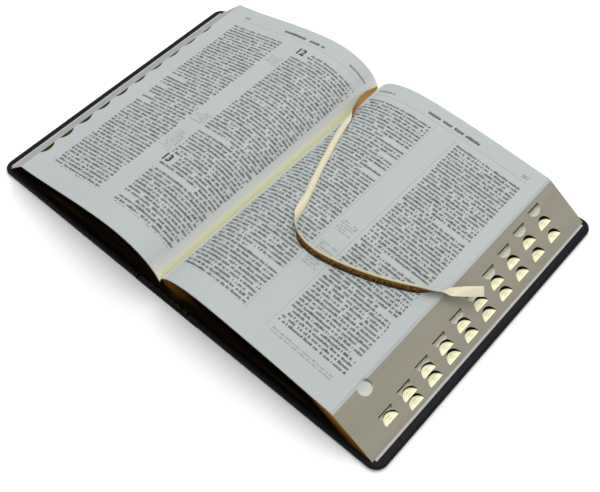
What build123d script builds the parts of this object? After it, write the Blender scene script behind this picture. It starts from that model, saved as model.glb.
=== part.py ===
from build123d import *
import os
from math import atan2, cos, radians, sin, tan

# An open leather-bound reference book with a thumb index and a ribbon marker.
# X runs across the spread, from the left cover's fore-edge to the right cover's.
# Y runs up the page, from tail to head. Z is up, and the book lies on Z = 0.
# The origin is the middle of the case, on the surface that the book lies on.

# Leaves, mm
page_height = 240.0
page_width = 165.0
spine_width = 41.0  # all the leaves pressed together
endleaf = 0.15

# How the leaves lie open
gutter_x = -5.0  # the open page lies a little left of the spine's middle
gutter_height = 14.0  # lowest line of the gutter, above the covers
left_hump = 39.3
left_edge_height = 20.8
left_fan = 24.5  # how far the top leaf's edge draws back from the bottom leaf's
right_hump = 34.3
right_edge_height = 23.1
right_fan = 31.6

# Case
square = 3.5  # case beyond the leaves at head and tail
spine_square = 3.5
fore_square = 7.5  # case beyond the bottom leaf at the fore-edge
corner_radius = 9.0
leather = 1.2
turn_in = 0.6  # leather pared thin where it folds over the board
turn_in_width = 15.0
board = 2.4
case_edge_round = 1.8
pastedown_margin = 5.8
joint_width = 10.5  # from the spine's edge to the board's edge
hinge_offset = 5.0  # from the spine's edge to the line where the leather bends
bend_gap = 1.2  # leather stops this far each side of that line

# Spine
inlay = 0.8
lining = 0.6
spine_turn_in_width = 12.0
band_height = 3.4
band_depth = 1.6

# Thumb index
index_count = 10
index_head_margin = 27.5  # from the head of the leaves to the first notch
index_tail_margin = 28.0
notch_radius = 6.3
upper_row = (0.097, 0.575)  # first and last notch, as shares of the fanned fore-edge
middle_row = (0.524, 0.792)
lower_row = (0.818, 0.953)
label_clearance = 0.25
label_thickness = 0.25
scoop_radius = 6.5
scoop_depth = 2.5
page_scoop_depth = 1.8
page_scoop_drop = 4.0  # its middle, below the top leaf's edge
bite_head_margin = 41.6
bite_tail_margin = 25.6
bite_chord = 15.5
bite_sink = 4.0
bite_reach = (2.2, 4.2)  # into the left page, at the head and at the tail

# Ribbon
ribbon_width = 7.0

# Heights and places worked out from those
case_thickness = leather + board + turn_in
leaves_z = case_thickness + 2 * endleaf
spine_z = leather + inlay + lining
bottom_leaf_x = spine_width / 2 + page_width
case_x = bottom_leaf_x + fore_square
case_y = page_height / 2 + square
spine_y = page_height / 2 + spine_square
hinge_x = spine_width / 2 + hinge_offset
board_x = spine_width / 2 + joint_width
left_edge_x = left_fan - bottom_leaf_x
right_edge_x = bottom_leaf_x - right_fan
slope_angle = atan2(right_edge_height, right_fan)
slope_length = (right_edge_height**2 + right_fan**2) ** 0.5
index_first_y = page_height / 2 - index_head_margin
index_pitch = (page_height - index_head_margin - index_tail_margin) / (index_count - 1)
bite_first_y = page_height / 2 - bite_head_margin
bite_pitch = (page_height - bite_head_margin - bite_tail_margin) / (index_count - 1)

os.makedirs("parts", exist_ok=True)


def block(x0, x1, y0, y1, z0, z1):
    """A box from one corner to the opposite one."""
    return Pos((x0 + x1) / 2, (y0 + y1) / 2, (z0 + z1) / 2) * Box(x1 - x0, y1 - y0, z1 - z0)


def slab(x0, x1, half_y, z0, z1, radius):
    """A plate whose two corners at x1 are rounded."""
    corners = [(x0, -half_y), (x1, -half_y), (x1, half_y), (x0, half_y)]
    face = make_face(Polyline(corners, close=True))
    outer = face.vertices().sort_by(Axis.X)[-2:]
    return Pos(0, 0, z0) * extrude(fillet(outer, radius), z1 - z0)


def write(name, shape):
    export_step(shape, f"parts/{name}.step")


def both_sides(name, shape):
    """The right-hand piece, and its mirror image on the left."""
    write(f"right_{name}", shape)
    write(f"left_{name}", mirror(shape, about=Plane.YZ))


# Pages

def section():
    """The leaves seen from the tail: two fanned stacks that meet in the gutter."""
    gutter = (gutter_x, leaves_z + gutter_height)
    left_edge = (left_edge_x, leaves_z + left_edge_height)
    right_edge = (right_edge_x, leaves_z + right_edge_height)
    left_top = Spline(
        gutter,
        (gutter_x - 8, leaves_z + left_hump - 10.3),
        (gutter_x - 30, leaves_z + left_hump - 0.4),
        (gutter_x - 57, leaves_z + left_hump - 0.4),
        ((left_edge_x + gutter_x - 57) / 2, leaves_z + (left_edge_height + left_hump) / 2),
        left_edge,
    )
    right_top = Spline(
        gutter,
        (gutter_x + 7, leaves_z + right_hump - 9.3),
        (gutter_x + 26, leaves_z + right_hump - 1),
        (gutter_x + 62, leaves_z + right_hump),
        ((right_edge_x + gutter_x + 80) / 2, leaves_z + (right_edge_height + right_hump) / 2),
        right_edge,
    )
    foot = Polyline(
        left_edge,
        (-bottom_leaf_x, leaves_z),
        (-hinge_x, leaves_z),
        (-spine_width / 2, spine_z),
        (spine_width / 2, spine_z),
        (hinge_x, leaves_z),
        (bottom_leaf_x, leaves_z),
        right_edge,
    )
    return make_face([left_top, right_top, foot])


def down_slope(distance):
    """X and Z on the right fore-edge, this far below the top leaf's edge."""
    x = right_edge_x + distance * cos(slope_angle)
    return x, leaves_z + right_edge_height - distance * sin(slope_angle)


def row_places(ends, count=index_count):
    """X, Y and Z of each notch in a row, from head to tail."""
    step = (ends[1] - ends[0]) / (index_count - 1)
    for k in range(count):
        x, z = down_slope((ends[0] + step * k) * slope_length)
        yield x, index_first_y - index_pitch * k, z


def hollow(x, y, z, tilt, radius, depth):
    """A ball that dishes a face tilted by this angle, radius wide and depth deep."""
    ball = (radius**2 + depth**2) / (2 * depth)
    lift = ball - depth
    return Pos(x + lift * sin(tilt), y, z + lift * cos(tilt)) * Sphere(ball)


def page_block():
    outline = Plane.XZ * section()
    leaves = extrude(outline, amount=page_height / 2, both=True)
    cuts = []
    tall = leaves_z + left_hump
    for places in (row_places(middle_row), row_places(lower_row, index_count - 1)):
        for x, y, z in places:
            cuts.append(Pos(x, y, (z + tall) / 2) * Cylinder(notch_radius, tall - z))
    for x, y, z in row_places(upper_row):
        under_leaf = block(x - 20, x + 20, y - 20, y + 20, z - 20, z)
        cuts.append(hollow(x, y, z, slope_angle, scoop_radius, scoop_depth) & under_leaf)
    x, z = down_slope(page_scoop_drop)
    last_y = index_first_y - index_pitch * (index_count - 1)
    cuts.append(hollow(x, last_y, z, slope_angle * 0.8, scoop_radius, page_scoop_depth))
    for k in range(index_count):
        reach = bite_reach[0] + (bite_reach[1] - bite_reach[0]) * k / (index_count - 1)
        radius = (bite_chord**2 / 4 + reach**2) / (2 * reach)
        y = bite_first_y - bite_pitch * k
        floor = leaves_z + left_edge_height - bite_sink
        round_bite = Pos(left_edge_x + reach - radius, y, floor + bite_sink) * Cylinder(radius, 2 * bite_sink)
        inside_edge = block(left_edge_x, left_edge_x + 9, y - 9, y + 9, floor, tall)
        cuts.append(round_bite & inside_edge)
    return leaves - cuts


def label(x, y, z):
    """A half-round label on the leaf at the bottom of a notch."""
    radius = notch_radius - label_clearance
    disc = Pos(x, y, z + label_thickness / 2) * Cylinder(radius, label_thickness)
    return disc & block(x - radius, x - label_clearance / 2, y - radius, y + radius, z, z + 1)


write("page_block", page_block())
for row, places in (("middle", row_places(middle_row)), ("lower", row_places(lower_row, index_count - 1))):
    for number, place in enumerate(places, 1):
        write(f"{row}_index_label_{number}", label(*place))

# Endleaves lie between the leaves and the covers
endleaf_z = leaves_z - endleaf
both_sides("endleaf", block(hinge_x, bottom_leaf_x, -page_height / 2, page_height / 2, endleaf_z, leaves_z))

# Covers


def cover_leather():
    """Leather round the board: the outside, three edges and the turn-ins."""
    body = slab(board_x, case_x, case_y, 0, case_thickness, corner_radius)
    rim = [e for e in body.edges() if abs(e.center().Z - case_thickness / 2) > 1]
    rim = [e for e in rim if e.center().X > board_x + 1]
    body = fillet(rim, case_edge_round)
    body -= slab(board_x, case_x - leather, case_y - leather, leather, leather + board, corner_radius - leather)
    inner_y = case_y - turn_in_width
    body -= block(board_x, case_x - turn_in_width, -inner_y, inner_y, leather, case_thickness)
    nose_x = hinge_x + bend_gap
    strip = block(nose_x, board_x, -case_y, case_y, 0, leather)
    nose = Pos(nose_x, 0, leather / 2) * Rot(90, 0, 0) * Cylinder(leather / 2, 2 * case_y)
    return body + strip + nose


def cover_board():
    plate = slab(board_x, case_x - leather, case_y - leather, leather, leather + board, corner_radius - leather)
    return plate


def pastedown():
    """Endpaper glued to the board, stepping up over the turn-ins."""
    half_y = case_y - pastedown_margin
    far_x = case_x - pastedown_margin
    low = leather + board
    sheet = block(board_x, far_x, -half_y, half_y, low, case_thickness + endleaf)
    well_x = case_x - turn_in_width
    well_y = case_y - turn_in_width
    sheet -= block(board_x, far_x, well_y, half_y, low, case_thickness)
    sheet -= block(board_x, far_x, -half_y, -well_y, low, case_thickness)
    sheet -= block(well_x, far_x, -half_y, half_y, low, case_thickness)
    step = endleaf
    sheet -= block(board_x, well_x - step, step - well_y, well_y - step, low + endleaf, case_thickness + endleaf)
    return sheet


both_sides("cover_leather", cover_leather())
both_sides("cover_board", cover_board())
both_sides("pastedown", pastedown())

# Spine


def spine_leather():
    """Leather down the back, folded over the inlay at head and tail."""
    half_x = hinge_x - bend_gap
    sheet = block(-half_x, half_x, -spine_y, spine_y, 0, leather)
    half_spine = spine_width / 2
    for side in (-1, 1):
        sheet += Pos(side * half_x, 0, leather / 2) * Rot(90, 0, 0) * Cylinder(leather / 2, 2 * spine_y)
        end_y = side * spine_y
        fold_y = side * (spine_y - leather)
        flap_y = side * (spine_y - spine_turn_in_width)
        sheet += block(-half_spine, half_spine, min(fold_y, end_y), max(fold_y, end_y), leather, spine_z)
        low_y, high_y = sorted((flap_y, fold_y))
        sheet += block(-half_spine, half_spine, low_y, high_y, leather + inlay, spine_z)
    return sheet


def spine_inlay():
    half_y = spine_y - leather
    return block(-spine_width / 2, spine_width / 2, -half_y, half_y, leather, leather + inlay)


def spine_lining():
    half_y = spine_y - spine_turn_in_width
    return block(-spine_width / 2, spine_width / 2, -half_y, half_y, leather + inlay, spine_z)


def head_band():
    """A corded band across the ends of the folds, round on its outer edge."""
    y = page_height / 2 + band_depth / 2
    core = block(-spine_width / 2, spine_width / 2, page_height / 2, y, spine_z, spine_z + band_height)
    roll = Pos(0, y, spine_z + band_height - band_depth / 2)
    return core + roll * Rot(0, 90, 0) * Cylinder(band_depth / 2, spine_width)


write("spine_leather", spine_leather())
write("spine_inlay", spine_inlay())
write("spine_lining", spine_lining())
write("head_band", head_band())
write("tail_band", mirror(head_band(), about=Plane.XZ))

# Ribbon marker: out of the gutter at the head, over the right page, past the fore-edge
ribbon_points = [
    (-4.7, 118.0, 28.9),
    (-4.8, 97.0, 28.9),
    (1.0, 80.0, 34.2),
    (7.0, 65.0, 38.3),
    (13.5, 46.0, 40.8),
    (21.0, 26.0, 42.3),
    (28.5, 5.5, 43.0),
    (36.5, -14.5, 43.3),
    (44.0, -31.0, 43.4),
    (55.5, -42.0, 43.5),
    (70.0, -45.0, 43.4),
    (88.0, -42.0, 42.6),
    (105.0, -36.5, 40.4),
    (122.0, -29.0, 37.4),
    (138.5, -19.5, 34.5),
    (151.5, -9.5, 32.6),
    (162.0, 1.5, 31.0),
    (170.5, 13.5, 29.4),
]


def bend_radii(points):
    """The largest tangent arc that the two runs at each corner leave room for."""
    radii = []
    for before, corner, after in zip(points, points[1:], points[2:]):
        run_in = Vector(*corner) - Vector(*before)
        run_out = Vector(*after) - Vector(*corner)
        half_turn = run_in.get_angle(run_out) / 2
        radii.append(0.45 * min(run_in.length, run_out.length) / tan(radians(half_turn)))
    return radii


radii = bend_radii(ribbon_points)
print("ribbon bend radii, mm:", " ".join(f"{r:.0f}" for r in radii))
route = FilletPolyline(*ribbon_points, radius=radii)
ribbon_section = Plane(origin=route @ 0, z_dir=route % 0) * Circle(ribbon_width / 2)
ribbon = sweep(ribbon_section, path=route)
print(f"ribbon length {route.length:.1f} mm, section times length over volume",
      round(ribbon_section.area * route.length / ribbon.volume, 4))
write("ribbon_marker", ribbon)
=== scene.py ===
import math
import random

import bmesh
import bpy
from mathutils import Matrix, Vector


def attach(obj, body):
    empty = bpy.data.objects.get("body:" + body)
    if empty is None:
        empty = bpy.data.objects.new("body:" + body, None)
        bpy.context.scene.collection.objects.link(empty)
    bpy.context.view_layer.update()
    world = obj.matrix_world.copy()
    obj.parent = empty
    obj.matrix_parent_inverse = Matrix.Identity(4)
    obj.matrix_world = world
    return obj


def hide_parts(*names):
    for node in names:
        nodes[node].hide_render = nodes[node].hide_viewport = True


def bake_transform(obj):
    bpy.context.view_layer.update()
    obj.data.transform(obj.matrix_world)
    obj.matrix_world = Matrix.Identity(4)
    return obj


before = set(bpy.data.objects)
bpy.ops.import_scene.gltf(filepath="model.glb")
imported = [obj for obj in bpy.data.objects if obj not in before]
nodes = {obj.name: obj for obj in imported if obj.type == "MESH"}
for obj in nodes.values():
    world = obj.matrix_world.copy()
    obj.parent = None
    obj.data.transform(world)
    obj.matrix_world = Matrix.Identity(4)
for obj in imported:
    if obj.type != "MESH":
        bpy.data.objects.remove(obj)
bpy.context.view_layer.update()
mm = 0.001
rng = random.Random(7)


def linear(hexColour):
    # sRGB hex to the linear values that shaders take
    parts = [int(hexColour[i:i + 2], 16) / 255 for i in (1, 3, 5)]
    light = [c / 12.92 if c <= 0.04045 else ((c + 0.055) / 1.055) ** 2.4 for c in parts]
    return (*light, 1.0)


def addNode(tree, kind, *ins, out=0, **settings):
    # adds a node, sets it, feeds its inputs in order (None leaves one alone), gives back one output
    node = tree.nodes.new(kind)
    for key, value in settings.items():
        setattr(node, key, value)
    for place, value in enumerate(ins):
        if isinstance(value, bpy.types.NodeSocket):
            tree.links.new(value, node.inputs[place])
        elif value is not None:
            node.inputs[place].default_value = value
    return node.outputs[out] if len(node.outputs) else node


# a Mix node of colours leaves its number and vector inputs alone
unused = [None] * 5
asColour = {"out": 2, "data_type": "RGBA"}


def scaleOf(grain):
    # scale of a pattern whose grains are this many millimetres across
    return round(1000.0 / grain)


def runSteps(tree, known, steps):
    # each step names a result, a node kind or a Math operation, and inputs by name or value
    for name, kind, *ins in steps:
        settings = ins.pop() if ins and isinstance(ins[-1], dict) else {}
        if kind.isupper():
            kind, settings = "ShaderNodeMath", {"operation": kind}
        ins = [known[i] if isinstance(i, str) else i for i in ins]
        known[name] = addNode(tree, kind, *ins, **settings)
    return known


def newMaterial(name, specular=0.5, **sockets):
    # a Principled material; plain values go straight onto the shader's own sockets
    material = bpy.data.materials.new(name)
    material.use_nodes = True
    tree = material.node_tree
    shader = tree.nodes["Principled BSDF"]
    shader.inputs["Specular IOR Level"].default_value = specular
    for key, value in sockets.items():
        shader.inputs[key].default_value = value
    return material, tree, shader


def makeMesh(name, points, faces, materials, slots=None):
    mesh = bpy.data.meshes.new(name)
    mesh.from_pydata([tuple(p) for p in points], [], faces)
    for material in materials:
        mesh.materials.append(material)
    if slots:
        mesh.polygons.foreach_set("material_index", slots)
    mesh.update()
    obj = bpy.data.objects.new(name, mesh)
    bpy.context.collection.objects.link(obj)
    return obj


def ringFaces(ring, levels):
    # quads between closed rings of this many points, then the two ends
    faces = []
    for level in range(levels - 1):
        a = level * ring
        for i in range(ring):
            n = (i + 1) % ring
            faces.append([a + i, a + n, a + ring + n, a + ring + i])
    last = (levels - 1) * ring
    return faces + [list(range(ring)), list(range(last, last + ring))]


def mapLeaf(obj, places):
    # the UV map that papers and ribbon read, in metres, from one place for each point
    layer = obj.data.uv_layers.new(name="leafMap")
    for loop in obj.data.loops:
        layer.data[loop.index].uv = places[loop.vertex_index]


def smoothByAngle(obj, degrees):
    obj.data.polygons.foreach_set("use_smooth", [True] * len(obj.data.polygons))
    obj.data.set_sharp_from_angle(angle=math.radians(degrees))


def tidyMesh(obj, merge=0.01 * mm):
    # merges doubles and turns every face outwards
    shape = bmesh.new()
    shape.from_mesh(obj.data)
    bmesh.ops.remove_doubles(shape, verts=shape.verts, dist=merge)
    bmesh.ops.recalc_face_normals(shape, faces=shape.faces)
    shape.to_mesh(obj.data)
    shape.free()


def applyModifiers(obj):
    # the evaluated shape becomes the mesh, and the modifiers go
    bpy.context.view_layer.update()
    shown = obj.evaluated_get(bpy.context.evaluated_depsgraph_get())
    mesh = bpy.data.meshes.new_from_object(shown)
    obj.modifiers.clear()
    obj.data = mesh


def booleanWith(obj, other, operation, keepOther=False):
    change = obj.modifiers.new("change", "BOOLEAN")
    change.operation = operation
    change.solver = "EXACT"
    change.material_mode = "TRANSFER"
    change.object = other
    applyModifiers(obj)
    if not keepOther:
        bpy.data.objects.remove(other)


# Camera
viewPoint = {
    "place": (0.30447, -0.27718, 0.51385),
    "right": (0.74065, 0.66975, -0.05359),
    "down": (0.52451, -0.62619, -0.57687),
    "lens": 51.55,
    "sensor": 36,
}


def makeCamera():
    data = bpy.data.cameras.new("camera")
    data.lens = viewPoint["lens"]
    data.sensor_width = viewPoint["sensor"]
    data.clip_start = 0.01
    camera = bpy.data.objects.new("camera", data)
    right = Vector(viewPoint["right"]).normalized()
    down = Vector(viewPoint["down"]).normalized()
    turn = Matrix((right, -down, -right.cross(down))).transposed().to_4x4()
    camera.matrix_world = Matrix.Translation(viewPoint["place"]) @ turn
    bpy.context.collection.objects.link(camera)
    bpy.context.scene.camera = camera


makeCamera()
print("camera placed")

# Section of the leaves, read from the frame: left edge, hump, gutter, hump, right edge
def readSection():
    mesh = nodes["page_block"].data
    tail = min(v.co.y for v in mesh.vertices)
    atTail = [v.co for v in mesh.vertices if v.co.y < tail + 1e-6]
    points = sorted({(round(place.x, 6), round(place.z, 6)) for place in atTail})
    leafZ = points[0][1]
    top = [p for p in points if p[1] > leafZ + mm]
    gutter = min((p for p in top if abs(p[0]) < 20 * mm), key=lambda p: p[1])
    spineZ = min(p[1] for p in points)
    spineX = max(p[0] for p in points if p[1] < spineZ + 1e-5)
    hingeX = min(p[0] for p in points if p[0] > spineX + 1e-5 and abs(p[1] - leafZ) < 1e-5)
    return {
        "tail": tail, "leafZ": leafZ, "spineZ": spineZ, "spineX": spineX, "hingeX": hingeX,
        "bottomX": points[-1][0], "gutter": gutter,
        -1: [p for p in reversed(top) if p[0] <= gutter[0]],
        1: [p for p in top if p[0] >= gutter[0]],
    }


def walk(line):
    # distances along a line of points
    total = [0.0]
    for (x0, z0), (x1, z1) in zip(line, line[1:]):
        total.append(total[-1] + math.hypot(x1 - x0, z1 - z0))
    return total


def pointAt(line, total, distance):
    # the point this far along a line whose distances are known
    distance = min(max(distance, 0.0), total[-1])
    place = 0
    while place < len(total) - 2 and total[place + 1] < distance:
        place += 1
    share = (distance - total[place]) / max(total[place + 1] - total[place], 1e-9)
    (x0, z0), (x1, z1) = line[place], line[place + 1]
    return x0 + (x1 - x0) * share, z0 + (z1 - z0) * share


def evenly(line, count):
    # the same line in equal steps, eased twice so that the facets of the frame don't show
    total = walk(line)
    points = [pointAt(line, total, total[-1] * i / count) for i in range(count + 1)]
    for _ in range(2):
        points = [points[0]] + [
            tuple((a + 2 * b + c) / 4 for a, b, c in zip(before, here, after))
            for before, here, after in zip(points, points[1:], points[2:])
        ] + [points[-1]]
    return points


section = readSection()
topSteps = 90
topLines = {side: evenly(section[side], topSteps) for side in (-1, 1)}
topWalks = {side: walk(topLines[side]) for side in (-1, 1)}


def onPage(side, distance, lift=0.0):
    # X and Z on the open page, this far along it from the gutter and this high above it
    line, total = topLines[side], topWalks[side]
    x, z = pointAt(line, total, distance)
    step = 0.8 * mm
    x0, z0 = pointAt(line, total, distance - step)
    x1, z1 = pointAt(line, total, distance + step)
    length = math.hypot(x1 - x0, z1 - z0)
    nx, nz = -(z1 - z0) / length * side, (x1 - x0) / length * side
    return x + nx * lift, z + nz * lift


def pageHeightAt(x):
    # the height of the leaves under this X, down the fore-edge slope as well
    side = -1 if x < section["gutter"][0] else 1
    line = topLines[side]
    for (x0, z0), (x1, z1) in zip(line, line[1:]):
        if min(x0, x1) <= x <= max(x0, x1):
            return z0 + (z1 - z0) * (x - x0) / (x1 - x0)
    rimX, rimZ = line[-1]
    fall = (rimZ - section["leafZ"]) / (section["bottomX"] - abs(rimX))
    return rimZ - (abs(x) - abs(rimX)) * fall


print("section read", round(topWalks[-1][-1] / mm, 1), round(topWalks[1][-1] / mm, 1))

# Materials

# Thin uncoated printing paper, milled smooth: matt, a little blue, with cloudy formation
paper = {"tone": "#aeb4b3", "cloud": "#a8aead", "fold": "#dddbd3", "glueAndPaintedLight": "#e6e8b2",
         "ink": "#0e0f11"}
# How the print is set: rows, letters and indents in mm; the shares of letters left out and of rows
# that end a paragraph; where letters stand in a row's height; and how dark the palest ones are
bodyType = {"pitch": 3.3, "letter": 1.0, "gaps": 0.18, "breaks": 0.07, "indent": 3.2,
            "band": (0.28, 0.75), "palest": 0.65}
smallType = {"pitch": 2.3, "letter": 0.75, "gaps": 0.3, "breaks": 0.45, "indent": 0.8,
             "band": (0.28, 0.72), "palest": 0.4}
headType = dict(bodyType, breaks=0.0, gaps=0.1, band=(0.12, 0.9), palest=0.9)
ruleLine = {"half": 0.13, "top": 102.0, "bottom": -104.0, "ink": 0.42}
headLine = {"half": 0.12, "ink": 0.5}
# Places on each page, in mm across from the fold and up from the middle: boxes in the order below.
# A head has its low, high and top, its letter width and how dark it is
boxSides = ("low", "high", "top", "bottom")
printLayouts = {
    -1: {
        "columns": [(93.5, 151.0, 97.0, -102.0), (14.5, 75.0, 97.0, -102.0)],
        "notes": (77.0, 91.5, 92.0, -98.0),
        "rules": [],
        "headRule": (15.0, 151.0, 104.6),
        "heads": [(59.0, 103.0, 110.6, 2.1, 0.95), (13.5, 33.0, 110.2, 1.5, 0.7)],
        "blanks": [(62.5, 76.0, 99.5, 90.0), (64.0, 76.0, -44.5, -54.0)],
        "foot": None,
    },
    1: {
        "columns": [(15.5, 76.0, 99.0, -103.0), (99.5, 156.0, 98.5, -95.5)],
        "notes": (80.0, 94.5, 62.0, -98.0),
        "rules": [77.6, 96.7],
        "headRule": (17.0, 157.0, 104.6),
        "heads": [(65.0, 112.0, 110.6, 2.1, 0.95), (17.0, 33.0, 110.2, 1.5, 0.7)],
        "blanks": [],
        "foot": (101.0, 152.0, -100.5, -104.5),
    },
}


def textBlock(tree, across, up, block):
    # rows of small dark marks broken into letters and words, as a mask of 0 to 1
    low, high, top, bottom = block["low"], block["high"], block["top"], block["bottom"]
    known = {"across": across, "up": up}
    runSteps(tree, known, [
        ("fromTop", "SUBTRACT", top, "up"),
        ("rows", "DIVIDE", "fromTop", block["pitch"]),
        ("row", "FLOOR", "rows"),
        ("inRow", "FRACT", "rows"),
        ("seed", "ADD", "row", block["seed"]),
        ("rowChance", "ShaderNodeTexWhiteNoise", None, "seed", {"noise_dimensions": "1D"}),
        ("seedAbove", "SUBTRACT", "seed", 1.0),
        ("chanceAbove", "ShaderNodeTexWhiteNoise", None, "seedAbove", {"noise_dimensions": "1D"}),
        ("lastRow", "LESS_THAN", "rowChance", block["breaks"]),
        ("firstRow", "LESS_THAN", "chanceAbove", block["breaks"]),
        ("manyChance", "MULTIPLY", "rowChance", 91.7),
        ("otherChance", "FRACT", "manyChance"),
        # a paragraph's last row ends short by a tenth to seven tenths of the column
        ("shorter", "MULTIPLY_ADD", "otherChance", -0.6 * (high - low), -0.1 * (high - low)),
        ("cutBack", "MULTIPLY", "lastRow", "shorter"),
        ("rowEnd", "ADD", "cutBack", high),
        ("rowStart", "MULTIPLY_ADD", "firstRow", block["indent"], low),
        ("afterStart", "GREATER_THAN", "across", "rowStart"),
        ("beforeEnd", "LESS_THAN", "across", "rowEnd"),
        ("belowTop", "GREATER_THAN", "fromTop", 0.0),
        ("aboveBottom", "GREATER_THAN", "up", bottom),
        ("letters", "DIVIDE", "across", block["letter"]),
        ("slip", "MULTIPLY_ADD", "otherChance", 0.9, "letters"),
        ("cell", "FLOOR", "slip"),
        ("spot", "ShaderNodeCombineXYZ", "cell", "seed"),
        ("letterChance", "ShaderNodeTexWhiteNoise", "spot", {"noise_dimensions": "2D"}),
        ("inked", "GREATER_THAN", "letterChance", block["gaps"]),
        # some letters stand taller and some hang lower
        ("tall", "GREATER_THAN", "letterChance", 0.8),
        ("deep", "LESS_THAN", "letterChance", block["gaps"] + 0.1),
        ("topLine", "MULTIPLY_ADD", "tall", -0.15, block["band"][0]),
        ("footLine", "MULTIPLY_ADD", "deep", 0.14, block["band"][1]),
        ("underTop", "GREATER_THAN", "inRow", "topLine"),
        ("overFoot", "LESS_THAN", "inRow", "footLine"),
        ("inCell", "FRACT", "slip"),
        ("inLetter", "GREATER_THAN", "inCell", 0.14),
        # two stems to a letter, darker than what joins them
        ("stems", "PINGPONG", "slip", 0.25),
        ("stem", "GREATER_THAN", "stems", 0.09),
        ("stemInk", "MULTIPLY_ADD", "stem", 0.35, 0.65),
        ("strength", "MULTIPLY_ADD", "letterChance", 1.0 - block["palest"], block["palest"]),
        ("letterInk", "MULTIPLY", "stemInk", "strength"),
        ("separated", "MULTIPLY", "letterInk", "inLetter"),
        ("inLine", "MULTIPLY", "afterStart", "beforeEnd"),
        ("inHeight", "MULTIPLY", "belowTop", "aboveBottom"),
        ("inBand", "MULTIPLY", "underTop", "overFoot"),
        ("letter", "MULTIPLY", "inked", "separated"),
        ("inBlock", "MULTIPLY", "inLine", "inHeight"),
        ("drawn", "MULTIPLY", "inBand", "letter"),
        ("mask", "MULTIPLY", "inBlock", "drawn"),
    ])
    if "fill" in block:
        # whole groups of five rows are left out, as in a column of side notes
        runSteps(tree, known, [
            ("groups", "DIVIDE", "row", 5.0),
            ("group", "FLOOR", "groups"),
            ("groupSeed", "ADD", "group", block["seed"] + 0.5),
            ("chance", "ShaderNodeTexWhiteNoise", None, "groupSeed", {"noise_dimensions": "1D"}),
            ("kept", "LESS_THAN", "chance", block["fill"]),
            ("mask", "MULTIPLY", "mask", "kept"),
        ])
    return known["mask"]


def rectangle(tree, across, up, low, high, top, bottom):
    # a mask of 0 or 1 over one box of the page
    return runSteps(tree, {"across": across, "up": up}, [
        ("a", "GREATER_THAN", "across", low),
        ("b", "LESS_THAN", "across", high),
        ("c", "LESS_THAN", "up", top),
        ("d", "GREATER_THAN", "up", bottom),
        ("ab", "MULTIPLY", "a", "b"),
        ("cd", "MULTIPLY", "c", "d"),
        ("all", "MULTIPLY", "ab", "cd"),
    ])["all"]


def printedPaper(name, side):
    # offset-printed text on thin paper, generic rows with no words in them
    layout = printLayouts[side]
    material, tree, shader = newMaterial(name, specular=0.25, Roughness=0.72, IOR=1.45)
    uv = addNode(tree, "ShaderNodeUVMap", uv_map="leafMap")
    split = addNode(tree, "ShaderNodeSeparateXYZ", uv).node.outputs
    across = addNode(tree, "ShaderNodeMath", split[0], 1000.0, operation="MULTIPLY")
    up = addNode(tree, "ShaderNodeMath", split[1], 1000.0, operation="MULTIPLY")
    # every block of rows: its kind of type, its box, its seed and how dark it prints
    blocks = [(dict(bodyType, seed=31.0 * number + 7 * side + 40), box, 1.0)
              for number, box in enumerate(layout["columns"])]
    blocks.append((dict(smallType, seed=211.0 + side, fill=0.3), layout["notes"], 0.5))
    if layout["foot"]:
        blocks.append((dict(smallType, seed=401.0, breaks=0.0, gaps=0.14), layout["foot"], 0.5))
    for number, (low, high, top, letter, weight) in enumerate(layout["heads"]):
        tall = letter * 1.45
        head = dict(headType, pitch=tall, letter=letter, seed=601.0 + 13 * number + side)
        blocks.append((head, (low, high, top, top - tall), weight))
    ink = 0.0
    for block, box, weight in blocks:
        mask = textBlock(tree, across, up, {**block, **dict(zip(boxSides, box))})
        mask = addNode(tree, "ShaderNodeMath", mask, weight, operation="MULTIPLY")
        ink = addNode(tree, "ShaderNodeMath", mask, ink, operation="MAXIMUM")
    for low, high, top, bottom in layout["blanks"]:
        blank = rectangle(tree, across, up, low, high, top, bottom)
        kept = addNode(tree, "ShaderNodeMath", 1.0, blank, operation="SUBTRACT")
        ink = addNode(tree, "ShaderNodeMath", ink, kept, operation="MULTIPLY")
    half = ruleLine["half"]
    thin = [(x - half, x + half, ruleLine["top"], ruleLine["bottom"], ruleLine["ink"])
            for x in layout["rules"]]
    low, high, y = layout["headRule"]
    thin.append((low, high, y + headLine["half"], y - headLine["half"], headLine["ink"]))
    for low, high, top, bottom, weight in thin:
        line = rectangle(tree, across, up, low, high, top, bottom)
        line = addNode(tree, "ShaderNodeMath", line, weight, operation="MULTIPLY")
        ink = addNode(tree, "ShaderNodeMath", ink, line, operation="MAXIMUM")
    place = addNode(tree, "ShaderNodeTexCoord", out="Object")
    cloud = addNode(tree, "ShaderNodeTexNoise", place, None, scaleOf(33.3), 3.0)
    tone = addNode(tree, "ShaderNodeMix", cloud, *unused,
                   linear(paper["tone"]), linear(paper["cloud"]), **asColour)
    # towards the fold painted light makes the sheet paler against the fold's shade, and a little
    # yellow glue shows at the bottom, lifted paler the same way
    for start, reach, share, shade in ((2.0, 17.0, 1.0, "fold"), (1.5, 9.5, 0.75, "glueAndPaintedLight")):
        depth = addNode(tree, "ShaderNodeMapRange", across, start, reach, share, 0.0)
        tone = addNode(tree, "ShaderNodeMix", depth, *unused, tone, linear(paper[shade]), **asColour)
    colour = addNode(tree, "ShaderNodeMix", ink, *unused, tone, linear(paper["ink"]), **asColour)
    tree.links.new(colour, shader.inputs["Base Color"])
    grain = addNode(tree, "ShaderNodeTexNoise", place, None, scaleOf(0.6667), 2.0)
    bump = addNode(tree, "ShaderNodeBump", 0.15, 0.03 * mm, None, grain)
    tree.links.new(bump, shader.inputs["Normal"])
    return material


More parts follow.
